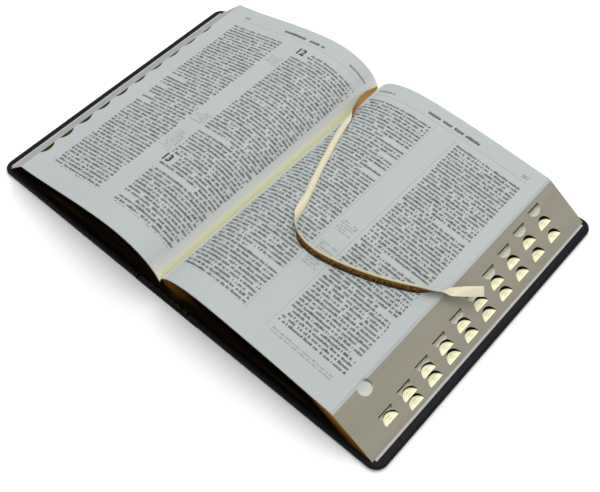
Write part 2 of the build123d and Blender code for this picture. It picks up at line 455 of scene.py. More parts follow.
def leafEdges(name, tones, streak, roughness, specular=0.0, bumpHeight=0.05 * mm, contrast=2.6,
              glow=None):
    # cut edges of many leaves: fine lines along each leaf; "streak" is the line spacing in mm.
    # A leaf is 0.04 mm thick, too fine to show, so the lines stand for groups of leaves.
    material, tree, shader = newMaterial(name, specular=specular, Roughness=roughness)
    uv = addNode(tree, "ShaderNodeUVMap", uv_map="leafMap")
    stretched = addNode(tree, "ShaderNodeMapping", uv, None, None, (6.0, 1.0 / (streak * mm), 1.0))
    lines = addNode(tree, "ShaderNodeTexNoise", stretched, None, 1.0, 4.0, 0.65)
    broad = addNode(tree, "ShaderNodeMapping", uv, None, None, (9.0, 90.0, 1.0))
    patches = addNode(tree, "ShaderNodeTexNoise", broad, None, 1.0, 2.0)
    share = runSteps(tree, {"lines": lines, "patches": patches}, [
        ("both", "MULTIPLY_ADD", "patches", 0.7, "lines"),
        ("share", "MULTIPLY_ADD", "both", contrast, 0.5 - 0.85 * contrast),
    ])["share"]
    colour = addNode(tree, "ShaderNodeValToRGB", share)
    stops = colour.node.color_ramp.elements
    for place in range(1, len(tones) - 1):
        stops.new(place / (len(tones) - 1))
    for stop, tone in zip(stops, tones):
        stop.color = linear(tone)
    if glow:
        # painted light: brown-gold on the right stack's tail end where it would catch the light,
        # by its fore-edge and by the fold
        place = addNode(tree, "ShaderNodeTexCoord", out="Object")
        side = addNode(tree, "ShaderNodeSeparateXYZ", place).node.outputs
        split = addNode(tree, "ShaderNodeSeparateXYZ", uv).node.outputs
        riser = section["gutter"][1] - section["spineZ"]
        end = topWalks[1][-1] + riser
        known = {"x": side[0], "y": side[1], "u": split[0], "v": split[1], "share": share}
        lit = runSteps(tree, known, [
            ("right", "GREATER_THAN", "x", 0.0),
            ("tail", "LESS_THAN", "y", 0.0),
            ("edge", "ShaderNodeMapRange", "u", end - 24 * mm, end - 3 * mm, 0.0, 1.0),
            ("height", "ShaderNodeMapRange", "v", 0.0, 20 * mm, 0.3, 0.95),
            ("edgeGlow", "MULTIPLY", "edge", "height"),
            ("foldRise", "ShaderNodeMapRange", "u", riser + 2 * mm, riser + 12 * mm, 0.0, 1.0),
            ("foldFall", "ShaderNodeMapRange", "u", riser + 16 * mm, riser + 42 * mm, 1.0, 0.0),
            ("top", "ShaderNodeMapRange", "v", 15 * mm, 22 * mm, 0.0, 0.32),
            ("fold", "MULTIPLY", "foldRise", "foldFall"),
            ("foldGlow", "MULTIPLY", "fold", "top"),
            ("both", "MAXIMUM", "edgeGlow", "foldGlow"),
            ("uneven", "MULTIPLY_ADD", "share", 0.4, 0.8),
            ("onRight", "MULTIPLY", "both", "right"),
            ("atTail", "MULTIPLY", "onRight", "tail"),
            ("lit", "MULTIPLY", "atTail", "uneven"),
        ])["lit"]
        colour = addNode(tree, "ShaderNodeMix", lit, *unused, colour, linear(glow), **asColour)
    tree.links.new(colour, shader.inputs["Base Color"])
    bump = addNode(tree, "ShaderNodeBump", 0.5, bumpHeight, None, lines)
    tree.links.new(bump, shader.inputs["Normal"])
    return material


def plainPaper(name, tone, cloud, roughness=0.75, trimmedAt=None):
    # sheet paper with slow cloudiness about 25 mm across and fine fibres
    material, tree, shader = newMaterial(name, Roughness=roughness)
    place = addNode(tree, "ShaderNodeTexCoord", out="Object")
    noise = addNode(tree, "ShaderNodeTexNoise", place, None, scaleOf(25), 4.0)
    colour = addNode(tree, "ShaderNodeMix", noise, *unused, linear(tone), linear(cloud), **asColour)
    if trimmedAt:
        # its head and tail edges were cut and gilded together with the leaves, and are painted nearly
        # black as shade, like the leaves' ends
        split = addNode(tree, "ShaderNodeSeparateXYZ", place).node.outputs
        edge = runSteps(tree, {"y": split[1]}, [
            ("reach", "ABSOLUTE", "y"),
            ("edge", "GREATER_THAN", "reach", trimmedAt),
        ])["edge"]
        colour = addNode(tree, "ShaderNodeMix", edge, *unused, colour, linear("#0c0804"), **asColour)
    tree.links.new(colour, shader.inputs["Base Color"])
    fibre = addNode(tree, "ShaderNodeTexNoise", place, None, scaleOf(0.8333), 2.0)
    bump = addNode(tree, "ShaderNodeBump", 0.2, 0.04 * mm, None, fibre)
    tree.links.new(bump, shader.inputs["Normal"])
    return material


leftPrint = printedPaper("printedPaperLeft", -1)
rightPrint = printedPaper("printedPaperRight", 1)
blankPaper = plainPaper("thinBookPaper", "#b1b6b5", "#abb0af")
# Fanned fore-edge: gilding spread apart by white paper, with the gilt's reflection of the pale
# surroundings painted into its dull tan-grey
fannedEdge = leafEdges("fannedLeafEdges", ["#7b7768", "#878374", "#8d897b", "#979487"], 0.5, 0.75,
                       specular=0.2, bumpHeight=0.01 * mm, contrast=1.1)
# The left stack's fanned edge is the same edge, painted lighter and greyer as light and reflection
# where it faces the light
leftFannedEdgeLit = leafEdges("leftFannedEdgesLit", ["#8c8d8c", "#979897", "#9fa09f"], 0.5, 0.75,
                           specular=0.2, bumpHeight=0.01 * mm, contrast=1.3)
# Head and tail: gilt, burnished flat, painted nearly black as shade, with brown-gold painted light
# near the right stack's fore-edge and fold
giltEdgeShadeAndGlow = leafEdges("giltEdgesPaintedShadeAndGlow", ["#020101", "#060402", "#0c0804", "#2a1b0a"], 0.35, 0.8,
                     glow="#805419")
# Notch walls: the cut leaves painted nearly black as shade
notchWallShade = leafEdges("notchWallPaintedShade", ["#0a0904", "#131106", "#1e1b0b"], 0.3, 0.8)


def scoopMaterial():
    # bare leaf edges, cut after gilding: paler than the gilt. Painted shade makes a dark line under
    # the leaf above and darkens the head end, and painted light makes the part further below paler.
    # U on a dish is how far below that leaf's edge a place shows, V is along the row.
    material, tree, shader = newMaterial("scoopedLeaves", specular=0.2, Roughness=0.75)
    uv = addNode(tree, "ShaderNodeUVMap", uv_map="leafMap")
    split = addNode(tree, "ShaderNodeSeparateXYZ", uv).node.outputs
    known = runSteps(tree, {"below": split[0], "along": split[1]}, [
        ("line", "ShaderNodeMapRange", "below", 0.55 * mm, 0.9 * mm, 1.0, 0.0),
        ("end", "ShaderNodeMapRange", "along", 3.2 * mm, 5.2 * mm, 0.0, 1.0),
        ("hook", "ShaderNodeMapRange", "below", 1.0 * mm, 3.4 * mm, 0.6, 0.0),
        ("corner", "MULTIPLY", "end", "hook"),
        ("soil", "MAXIMUM", "line", "corner"),
        ("deep", "ShaderNodeMapRange", "below", 1.2 * mm, 4.2 * mm, 0.0, 1.0),
    ])
    bare = addNode(tree, "ShaderNodeMix", known["deep"], *unused,
                   linear("#98947f"), linear("#bdbcae"), **asColour)
    colour = addNode(tree, "ShaderNodeMix", known["soil"], *unused,
                     bare, linear("#17150c"), **asColour)
    tree.links.new(colour, shader.inputs["Base Color"])
    return material


scoopPaper = scoopMaterial()
# Walls of the bites: leaf edges painted dark olive, a gilt colour darkened as painted shade
biteWallGiltAndShade = leafEdges("oliveBiteWallPaintedShade", ["#4c561d", "#626d2a", "#7d8840"], 0.5, 0.8)
# Endpapers: heavier white sheet. Boards: grey millboard. Spine: black card, matt and plain
endPaper = plainPaper("endPaper", "#adaeab", "#a5a6a3")
endleafPaper = plainPaper("trimmedEndPaper", "#b3b4b1", "#abaca9", trimmedAt=119.6 * mm)
greyBoard = plainPaper("pressedGreyBoard", "#8b8478", "#7a7368", 0.9)
spineCard = plainPaper("blackCard", "#1d1a16", "#15130f", 0.9)
print("paper materials made")


# Leaves: one block, in two fanned stacks
leafBlock = {"rows": 60, "columns": 44, "riser": 4, "ridge": 0.08 * mm,
             "paperHeight": 0.041, "stackShare": {-1: 0.4, 1: 0.6}}


def stackPaths(side):
    # the lowest and the highest leaf of a stack, both starting at the back of the fold
    gx, gz = section["gutter"]
    spineZ, leafZ, steps = section["spineZ"], section["leafZ"], leafBlock["riser"]
    lowest = [(side * section["spineX"], spineZ), (side * section["hingeX"], leafZ),
              (side * section["bottomX"], leafZ)]
    riser = [(gx, spineZ + (gz - spineZ) * i / steps) for i in range(steps + 1)]
    top = evenly(section[side], leafBlock["columns"])
    return lowest, riser + top[1:]


def makeLeafBlock():
    # U runs along a leaf and V through the papers of a stack, both in metres
    points, faces, slots, maps = [], [], [], []
    halfY = -section["tail"]
    rows = leafBlock["rows"]
    plain, rightEdge, gilt, leftEdge = range(4)

    def quad(corners, slot, uvs):
        faces.append([len(points) + i for i in range(4)])
        points.extend(corners)
        slots.append(slot)
        maps.extend(uvs)

    def strip(start, end, slot, uvs):
        # a face that runs from tail to head between two places of the section
        (x0, z0), (x1, z1) = start, end
        quad([(x0, -halfY, z0), (x0, halfY, z0), (x1, halfY, z1), (x1, -halfY, z1)], slot, uvs)

    for side in (-1, 1):
        lowest, highest = stackPaths(side)
        lowWalk, highWalk = walk(lowest), walk(highest)
        # the bend of the lowest leaf gets a column of its own
        shares = {round(w / highWalk[-1], 5) for w in highWalk}
        shares = sorted(shares | {round(lowWalk[1] / lowWalk[-1], 5)})
        thick = leafBlock["paperHeight"] * leafBlock["stackShare"][side]
        grid = []
        for i in range(rows + 1):
            rise = i / rows
            line = []
            for share in shares:
                x0, z0 = pointAt(lowest, lowWalk, share * lowWalk[-1])
                x1, z1 = pointAt(highest, highWalk, share * highWalk[-1])
                line.append((x0 + (x1 - x0) * rise, z0 + (z1 - z0) * rise))
            if 0 < i < rows:
                x, z = line[-1]
                line[-1] = (x - side * rng.uniform(0, leafBlock["ridge"]), z)
            grid.append(line)
        length = highWalk[-1]
        for i in range(rows):
            v0, v1 = thick * i / rows, thick * (i + 1) / rows
            for j in range(len(shares) - 1):
                u0, u1 = shares[j] * length, shares[j + 1] * length
                corners = [grid[i][j], grid[i][j + 1], grid[i + 1][j + 1], grid[i + 1][j]]
                uvs = [(u0, v0), (u1, v0), (u1, v1), (u0, v1)]
                for end in (-halfY, halfY):
                    quad([(x, end, z) for x, z in corners], gilt, uvs)
            strip(grid[i][-1], grid[i + 1][-1], rightEdge if side > 0 else leftEdge,
                  [(-halfY, v0), (halfY, v0), (halfY, v1), (-halfY, v1)])
            strip(grid[i][0], grid[i + 1][0], plain, [(0, v0), (0, v0), (0, v1), (0, v1)])
        for line, v in ((grid[0], 0.0), (grid[rows], thick)):
            for (x0, z0), (x1, z1) in zip(line, line[1:]):
                inFold = max(z0, z1) <= section["gutter"][1] + 1e-6 and abs(x0 - x1) < 1e-6
                if line is grid[rows] and inFold:
                    continue  # inside the block, where the two stacks meet
                strip((x0, z0), (x1, z1), plain, [(-halfY, v), (halfY, v), (halfY, v), (-halfY, v)])
    papers = [blankPaper, fannedEdge, giltEdgeShadeAndGlow, leftFannedEdgeLit]
    block = makeMesh("leafBlock", points, faces, papers, slots)
    layer = block.data.uv_layers.new(name="leafMap")
    layer.data.foreach_set("uv", [value for uv in maps for value in uv])
    tidyMesh(block)
    return block


# Thumb index: where the notches are, worked out down the fanned fore-edge
thumbIndex = {
    "count": 10, "headMargin": 27.5 * mm, "tailMargin": 28.0 * mm,
    "radius": 6.3 * mm, "cutterHeight": 40 * mm,
    # where each row starts and ends, as shares of the way down the slope
    "upper": (0.097, 0.575), "middle": (0.524, 0.792), "lower": (0.818, 0.953),
    "scoopRadius": 6.5 * mm, "scoopDepth": 2.5 * mm,
    # the last scoop of the upper row cuts the page's edge, and is smaller, shallower, less tilted
    "pageScoopDepth": 1.8 * mm, "pageScoopDrop": 4.0 * mm,
    "pageScoopWidth": 0.85, "pageScoopFlat": 0.8,
    # the bites along the left page's edge
    "biteHeadMargin": 41.6 * mm, "biteTailMargin": 25.6 * mm, "biteChord": 15.5 * mm,
    "biteReach": (2.2 * mm, 4.2 * mm), "biteSink": 4.0 * mm, "biteRise": 6 * mm, "biteSteps": 8,
    "labelClearance": 0.25 * mm, "labelThickness": 0.25 * mm,
}
edgeX, edgeZ = section[1][-1]
slopeRun, slopeFall = section["bottomX"] - edgeX, edgeZ - section["leafZ"]
slopeLength, slopeTilt = math.hypot(slopeRun, slopeFall), math.atan2(slopeFall, slopeRun)
pageHeight = -2 * section["tail"]
firstY = pageHeight / 2 - thumbIndex["headMargin"]
rowLength = pageHeight - thumbIndex["headMargin"] - thumbIndex["tailMargin"]
notchPitch = rowLength / (thumbIndex["count"] - 1)


def downSlope(share):
    # X and Z on the right fore-edge, this share of the way down
    return edgeX + slopeRun * share, edgeZ - slopeFall * share


def rowPlaces(name):
    # the notches of one row, from the head; the lower row has one fewer
    (start, end), places = thumbIndex[name], []
    for k in range(thumbIndex["count"] - (name == "lower")):
        x, z = downSlope(start + (end - start) * k / (thumbIndex["count"] - 1))
        places.append(Vector((x, firstY - notchPitch * k, z)))
    return places


def rowTree():
    # repeats a piece along a straight row: thumb labels, notch cutters, wound threads
    tree = bpy.data.node_groups.new("rowOf", "GeometryNodeTree")
    inputs = {"Piece": "Object", "Count": "Int", "Start": "Vector", "Step": "Vector",
              "Finish": "Material"}
    for name, kind in inputs.items():
        tree.interface.new_socket(name, in_out="INPUT", socket_type="NodeSocket" + kind)
    tree.interface.new_socket("Geometry", in_out="OUTPUT", socket_type="NodeSocketGeometry")
    given = addNode(tree, "NodeGroupInput").node.outputs
    line = addNode(tree, "GeometryNodeMeshLine", given["Count"], None, given["Start"], given["Step"],
                   mode="OFFSET")
    piece = addNode(tree, "GeometryNodeObjectInfo", given["Piece"], out="Geometry")
    copies = addNode(tree, "GeometryNodeInstanceOnPoints", line, None, piece)
    real = addNode(tree, "GeometryNodeRealizeInstances", copies)
    done = addNode(tree, "GeometryNodeSetMaterial", real, None, given["Finish"])
    addNode(tree, "NodeGroupOutput", done)
    return tree


rowOf = rowTree()


def makeRow(name, piece, places, finish):
    # copies of a piece at evenly spaced places
    start, step = places[0], places[1] - places[0]
    obj = makeMesh(name, [], [], [finish])
    change = obj.modifiers.new("row", "NODES")
    change.node_group = rowOf
    given = {"Piece": piece, "Count": len(places), "Start": tuple(start), "Step": tuple(step),
             "Finish": finish}
    for item in rowOf.interface.items_tree:
        if item.in_out == "INPUT":
            change[item.identifier] = given[item.name]
    applyModifiers(obj)
    return obj


def bmeshObject(name, shape, material):
    mesh = bpy.data.meshes.new(name)
    shape.to_mesh(mesh)
    shape.free()
    mesh.materials.append(material)
    obj = bpy.data.objects.new(name, mesh)
    bpy.context.collection.objects.link(obj)
    return obj


def drum(radius, height):
    # a round cutter standing on Z = 0
    shape = bmesh.new()
    bmesh.ops.create_cone(shape, cap_ends=True, segments=48, radius1=radius, radius2=radius,
                          depth=height, matrix=Matrix.Translation((0, 0, height / 2)))
    return shape


def dish(radius, depth, tilt, ceiling):
    # a ball that hollows a sloping face; with a ceiling it is cut off level, under a leaf
    ball = (radius ** 2 + depth ** 2) / (2 * depth)
    lift = ball - depth
    centre = Matrix.Translation((lift * math.sin(tilt), 0, lift * math.cos(tilt)))
    shape = bmesh.new()
    bmesh.ops.create_uvsphere(shape, u_segments=56, v_segments=36, radius=ball, matrix=centre)
    if ceiling:
        everything = shape.verts[:] + shape.edges[:] + shape.faces[:]
        cut = bmesh.ops.bisect_plane(shape, geom=everything, plane_co=(0, 0, 0), plane_no=(0, 0, 1),
                                     clear_outer=True)
        rim = [e for e in cut["geom_cut"] if isinstance(e, bmesh.types.BMEdge)]
        bmesh.ops.holes_fill(shape, edges=rim)
        bmesh.ops.recalc_face_normals(shape, faces=shape.faces)
    return shape


def biteCutters():
    # shallow bites along the left page's edge, a little deeper towards the tail
    last = thumbIndex["count"] - 1
    leftX, leftZ = section[-1][-1]
    low, high = leftZ - thumbIndex["biteSink"], leftZ + thumbIndex["biteRise"]
    first = pageHeight / 2 - thumbIndex["biteHeadMargin"]
    pitch = (pageHeight - thumbIndex["biteHeadMargin"] - thumbIndex["biteTailMargin"]) / last
    least, most = thumbIndex["biteReach"]
    chord, steps = thumbIndex["biteChord"], thumbIndex["biteSteps"]
    shape = bmesh.new()
    for k in range(last + 1):
        reach = least + (most - least) * k / last
        radius = (chord ** 2 / 4 + reach ** 2) / (2 * reach)
        y = first - pitch * k
        swing = math.asin(chord / 2 / radius)
        outline = [(leftX + reach - radius + radius * math.cos(a), y + radius * math.sin(a))
                   for a in (swing * (i / steps - 1) for i in range(2 * steps + 1))]
        rings = [[shape.verts.new((px, py, z)) for px, py in outline] for z in (low, high)]
        shape.faces.new(list(reversed(rings[0])))
        shape.faces.new(rings[1])
        for i in range(len(outline)):
            n = (i + 1) % len(outline)
            shape.faces.new([rings[0][i], rings[0][n], rings[1][n], rings[1][i]])
    bmesh.ops.recalc_face_normals(shape, faces=shape.faces)
    return bmeshObject("biteCutters", shape, biteWallGiltAndShade)


block = makeLeafBlock()
print("leaf block", len(block.data.polygons))
for rowName in ("middle", "lower", "upper"):
    if rowName == "upper":
        shape = dish(thumbIndex["scoopRadius"], thumbIndex["scoopDepth"], slopeTilt, True)
        cutter, finish = bmeshObject("scoopCutter", shape, scoopPaper), scoopPaper
        # how far each point shows below the level rim from above the fore-edge, and how far along
        mapLeaf(cutter, [(0.96 * v.co.x - 0.28 * v.co.z, v.co.y) for v in cutter.data.vertices])
    else:
        shape = drum(thumbIndex["radius"], thumbIndex["cutterHeight"])
        cutter, finish = bmeshObject("notchCutter", shape, notchWallShade), notchWallShade
    cutters = makeRow(rowName + "Cutters", cutter, rowPlaces(rowName), finish)
    bpy.data.objects.remove(cutter)
    booleanWith(block, cutters, "DIFFERENCE")
bites = biteCutters()
booleanWith(block, bites, "DIFFERENCE", keepOther=True)
scoopX, scoopZ = downSlope(thumbIndex["pageScoopDrop"] / slopeLength)
lastY = firstY - notchPitch * (thumbIndex["count"] - 1)
pageScoopRadius = thumbIndex["scoopRadius"] * thumbIndex["pageScoopWidth"]


def scoopedPageMaterial():
    # leaves cut by the last scoop: page-white over the page, bare edges below it,
    # and painted shadow of the page's edge in the corner at its head end
    material, tree, shader = newMaterial("scoopedPage", Roughness=0.75)
    place = addNode(tree, "ShaderNodeTexCoord", out="Object")
    centre = (scoopX, lastY, scoopZ)
    offset = addNode(tree, "ShaderNodeVectorMath", place, centre, operation="SUBTRACT")
    split = addNode(tree, "ShaderNodeSeparateXYZ", offset).node.outputs
    reach = addNode(tree, "ShaderNodeVectorMath", place, centre, operation="DISTANCE", out="Value")
    rimStart, rimEnd = pageScoopRadius - 1.3 * mm, pageScoopRadius - 0.7 * mm
    known = runSteps(tree, {"out": split[0], "along": split[1], "reach": reach}, [
        ("below", "ShaderNodeMapRange", "out", -3.0 * mm, 0.0, 0.0, 1.0),
        ("rim", "ShaderNodeMapRange", "reach", rimStart, rimEnd, 0.0, 0.8),
        ("corner", "ShaderNodeMapRange", "along", 1.6 * mm, 3.4 * mm, 0.0, 1.0),
        ("inside", "ShaderNodeMapRange", "out", 1.0 * mm, 2.2 * mm, 1.0, 0.0),
        ("near", "MULTIPLY", "corner", "inside"),
        ("soil", "MULTIPLY", "near", "rim"),
    ])
    bare = addNode(tree, "ShaderNodeMix", known["below"], *unused,
                   linear(paper["tone"]), linear("#bcbcb2"), **asColour)
    colour = addNode(tree, "ShaderNodeMix", known["soil"], *unused,
                     bare, linear("#3a382e"), **asColour)
    tree.links.new(colour, shader.inputs["Base Color"])
    return material


flatter = thumbIndex["pageScoopFlat"]
scoopShape = dish(pageScoopRadius, thumbIndex["pageScoopDepth"] * flatter, slopeTilt * flatter, False)
pageScoop = bmeshObject("pageScoop", scoopShape, scoopedPageMaterial())
pageScoop.data.transform(Matrix.Translation((scoopX, lastY, scoopZ)))
booleanWith(block, pageScoop, "DIFFERENCE", keepOther=True)
smoothByAngle(block, 28)
print("notches cut", len(block.data.polygons))

# Top leaves: loose over the block, each drawn back a little from the one below
topLeaves = {  # in mm
    1: [{"inset": 0.7, "lift": 0.12, "curl": 0.25}, {"inset": 1.7, "lift": 0.34, "curl": 0.5}],
    -1: [{"inset": 0.35, "lift": 0.12, "curl": 0.1}, {"inset": 0.9, "lift": 0.3, "curl": 0.3}],
}
leafSheet = {"thick": 0.1 * mm, "across": 84, "up": 16, "endInset": 0.25 * mm, "curlPower": 12,
             "wave": 0.08 * mm, "waveTurn": 31, "foldReach": 6 * mm, "least": 0.02 * mm}


def leafLift(sizes, s, y, wave):
    # height of a loose leaf's underside over the block: it starts in the fold and curls up
    # near its free edge
    share = s / topWalks[1][-1]
    lift = sizes["lift"] * mm + sizes["curl"] * mm * share ** leafSheet["curlPower"]
    lift += leafSheet["wave"] * math.sin(y * leafSheet["waveTurn"] + wave) * share ** 2
    return max(lift * min(1.0, s / leafSheet["foldReach"]), leafSheet["least"])


def makeTopLeaf(name, side, sizes, material, wave):
    length = topWalks[side][-1] - sizes["inset"] * mm
    across, up = leafSheet["across"], leafSheet["up"]
    halfY = -section["tail"] - leafSheet["endInset"]
    points, faces, maps = [], [], []
    for layer in (0, 1):
        for i in range(across + 1):
            s = length * i / across
            for j in range(up + 1):
                y = -halfY + 2 * halfY * j / up
                x, z = onPage(side, s, leafLift(sizes, s, y, wave) + layer * leafSheet["thick"])
                points.append((x, y, z))
                maps.append((s, y))
    stride = (across + 1) * (up + 1)

    def at(layer, i, j):
        return layer * stride + i * (up + 1) + j

    for i in range(across):
        for j in range(up):
            faces.append([at(1, i, j), at(1, i + 1, j), at(1, i + 1, j + 1), at(1, i, j + 1)])
            faces.append([at(0, i, j), at(0, i, j + 1), at(0, i + 1, j + 1), at(0, i + 1, j)])
        for j in (0, up):
            faces.append([at(0, i, j), at(0, i + 1, j), at(1, i + 1, j), at(1, i, j)])
    for j in range(up):
        for i in (0, across):
            faces.append([at(0, i, j), at(0, i, j + 1), at(1, i, j + 1), at(1, i, j)])
    leaf = makeMesh(name, points, faces, [material])
    mapLeaf(leaf, maps)
    tidyMesh(leaf, 0.002 * mm)
    return leaf


leafPieces = []
for side, label in ((-1, "left"), (1, "right")):
    for number, sizes in enumerate(topLeaves[side]):
        printed = number == len(topLeaves[side]) - 1
        material = (leftPrint if side < 0 else rightPrint) if printed else blankPaper
        leaf = makeTopLeaf(f"{label}Leaf{number + 1}", side, sizes, material, 2.0 * number + side)
        booleanWith(leaf, bites if side < 0 else pageScoop, "DIFFERENCE", keepOther=True)
        smoothByAngle(leaf, 40)
        leafPieces.append(leaf)
bpy.data.objects.remove(bites)
bpy.data.objects.remove(pageScoop)
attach(block, "book")
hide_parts("page_block")
for leaf in leafPieces:
    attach(leaf, "book")
print("top leaves laid")

# Thumb labels: half-round cream paper, pasted on the leaf at the bottom of each notch
labelLook = {"paper": "#f7f4cf", "cloud": "#efebbc", "mark": "#a39858",
             "sides": 22, "edge": 0.06 * mm}
labelType = {"low": -2.1, "high": 2.3, "top": 4.3, "bottom": 1.0, "pitch": 1.6, "letter": 0.5,
             "gaps": 0.25, "breaks": 0.0, "indent": 0.0, "band": (0.2, 0.72), "palest": 0.3,
             "seed": 900.0}


def labelMaterial():
    # cream laid paper with two short rows of tiny marks, with no words in them
    material, tree, shader = newMaterial("creamLabelPaper", Roughness=0.55)
    uv = addNode(tree, "ShaderNodeUVMap", uv_map="leafMap")
    split = addNode(tree, "ShaderNodeSeparateXYZ", uv).node.outputs
    across = addNode(tree, "ShaderNodeMath", split[1], 1000.0, operation="MULTIPLY")
    up = addNode(tree, "ShaderNodeMath", split[0], -1000.0, operation="MULTIPLY")
    marks = textBlock(tree, across, up, labelType)
    marks = addNode(tree, "ShaderNodeMath", marks, 0.75, operation="MULTIPLY")
    place = addNode(tree, "ShaderNodeTexCoord", out="Object")
    cloud = addNode(tree, "ShaderNodeTexNoise", place, None, scaleOf(6.25), 3.0)
    tone = addNode(tree, "ShaderNodeMix", cloud, *unused,
                   linear(labelLook["paper"]), linear(labelLook["cloud"]), **asColour)
    colour = addNode(tree, "ShaderNodeMix", marks, *unused,
                     tone, linear(labelLook["mark"]), **asColour)
    tree.links.new(colour, shader.inputs["Base Color"])
    return material


creamLabel = labelMaterial()


def makeLabelPiece():
    # one label at the origin, its round side towards -X; its top edge is eased
    sides = labelLook["sides"]
    radius = thumbIndex["radius"] - thumbIndex["labelClearance"]
    straightX = -thumbIndex["labelClearance"] / 2
    thick, ease = thumbIndex["labelThickness"], labelLook["edge"]
    points = []
    for inset, z in ((0.0, 0.0), (0.0, thick - ease), (ease, thick)):
        for i in range(sides + 1):
            turn = math.pi / 2 + math.pi * i / sides
            x = min((radius - inset) * math.cos(turn), straightX - inset)
            points.append((x, (radius - inset) * math.sin(turn), z))
    piece = makeMesh("labelPiece", points, ringFaces(sides + 1, 3), [creamLabel])
    mapLeaf(piece, [point[:2] for point in points])
    tidyMesh(piece, 0.001 * mm)
    return piece


labelPiece = makeLabelPiece()
for rowName in ("middle", "lower"):
    places = rowPlaces(rowName)
    labels = makeRow(rowName + "Labels", labelPiece, places, creamLabel)
    smoothByAngle(labels, 35)
    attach(labels, "book")
    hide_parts(*[f"{rowName}_index_label_{k + 1}" for k in range(len(places))])
bpy.data.objects.remove(labelPiece)
print("labels pasted")


# Case: one leather skin over both boards, made in two halves that meet down the spine's middle
skin = {
    "case": 193.0 * mm, "halfHeight": 123.5 * mm, "corner": 9.0 * mm, "thick": 4.2 * mm,
    "boardX": 31.0 * mm, "edgeRoll": 2.1 * mm, "leather": 1.2 * mm,
    "turnIn": 15.0 * mm, "turnInDepth": 0.6 * mm, "turnInBevel": 0.5 * mm,
    "spineX": 20.4 * mm, "spineThick": 2.6 * mm, "spineRoll": 1.3 * mm, "leastCorner": 0.8 * mm,
    "spineTurnIn": 12.0 * mm, "cornerSteps": 10, "sideSteps": 40,
    "jointFrom": 19.9 * mm, "jointStep": 0.5 * mm, "jointRows": 26, "jointInset": 0.04 * mm,
    "bendFrom": 22.3 * mm, "bendTo": 28.7 * mm,
}


def leatherMaterial():
    # goatskin, dyed black and glazed: rounded pebbles about 1 mm across with fine creases, satin
    material, tree, shader = newMaterial("blackGoatskin", specular=0.1, Roughness=0.42, IOR=1.5)
    place = addNode(tree, "ShaderNodeTexCoord", out="Object")
    bend = addNode(tree, "ShaderNodeTexNoise", place, None, scaleOf(2), 2.0, out="Color")
    shift = [0.6 * mm] * 3
    warped = addNode(tree, "ShaderNodeVectorMath", bend, shift, place, operation="MULTIPLY_ADD")
    pebbles = addNode(tree, "ShaderNodeTexVoronoi", warped, None, scaleOf(1.053), feature="SMOOTH_F1")
    creases = addNode(tree, "ShaderNodeTexVoronoi", warped, None, scaleOf(2.381),
                      feature="DISTANCE_TO_EDGE")
    fine = addNode(tree, "ShaderNodeTexNoise", place, None, scaleOf(0.3846), 3.0)
    known = runSteps(tree, {"pebbles": pebbles, "creases": creases, "fine": fine}, [
        ("domes", "MULTIPLY", "pebbles", -0.8),
        ("valley", "MINIMUM", "creases", 0.18),
        ("valleys", "MULTIPLY_ADD", "valley", 3.2, "domes"),
        ("height", "MULTIPLY_ADD", "fine", 0.25, "valleys"),
        # darker in the creases between the pebbles
        ("wear", "MULTIPLY_ADD", "creases", 1.2, 0.1),
    ])
    bump = addNode(tree, "ShaderNodeBump", 0.6, 0.16 * mm, None, known["height"])
    tree.links.new(bump, shader.inputs["Normal"])
    patches = addNode(tree, "ShaderNodeTexNoise", place, None, scaleOf(28.57), 3.0)
    tone = addNode(tree, "ShaderNodeMix", known["wear"], *unused,
                   linear("#060709"), linear("#121418"), **asColour)
    colour = addNode(tree, "ShaderNodeMix", patches, *unused, tone, linear("#0d0f12"), **asColour)
    tree.links.new(colour, shader.inputs["Base Color"])
    return material


leather = leatherMaterial()


def plateOutline(x0, x1, radius, inset, deepest):
    # outline of a plate, anticlockwise: its two outer corners are round, its inner side stays at x0
    far, high, bend = x1 - inset, skin["halfHeight"] - inset, max(radius - inset, skin["leastCorner"])
    # the straight sides are divided, so that faces stay short where the joint is welded on
    length, steps = x1 - max(radius, deepest + mm) - x0, skin["sideSteps"]
    straight = [x0 + length * i / steps for i in range(steps + 1)]
    points = [(x, -high) for x in straight]
    for i in range(skin["cornerSteps"] + 1):
        turn = -math.pi / 2 + math.pi / 2 * i / skin["cornerSteps"]
        points.append((far - bend + bend * math.cos(turn), -high + bend + bend * math.sin(turn)))
    for i in range(skin["cornerSteps"] + 1):
        turn = math.pi / 2 * i / skin["cornerSteps"]
        points.append((far - bend + bend * math.cos(turn), high - bend + bend * math.sin(turn)))
    points.extend((x, high) for x in reversed(straight))
    return points


def ringPlate(name, x0, x1, radius, profile):
    # a plate built up from outlines: each profile row is how far in from the edge, and how high
    points = []
    deepest = max(inset for inset, z in profile)
    for inset, z in profile:
        points.extend((x, y, z) for x, y in plateOutline(x0, x1, radius, inset, deepest))
    plate = makeMesh(name, points, ringFaces(len(points) // len(profile), len(profile)), [leather])
    tidyMesh(plate, 0.001 * mm)
    return plate


def edgeProfile(thick, roll):
    # a padded edge: nearly half round, flattened a little where it lies on the table
    rows = [(roll * 1.6, 0.0)]
    for i in range(1, 10):
        turn = math.pi * i / 10
        rows.append((roll * (1 - math.sin(turn)) ** 1.3, thick * (1 - math.cos(turn)) / 2))
    rows.append((roll * 1.3, thick))
    return rows


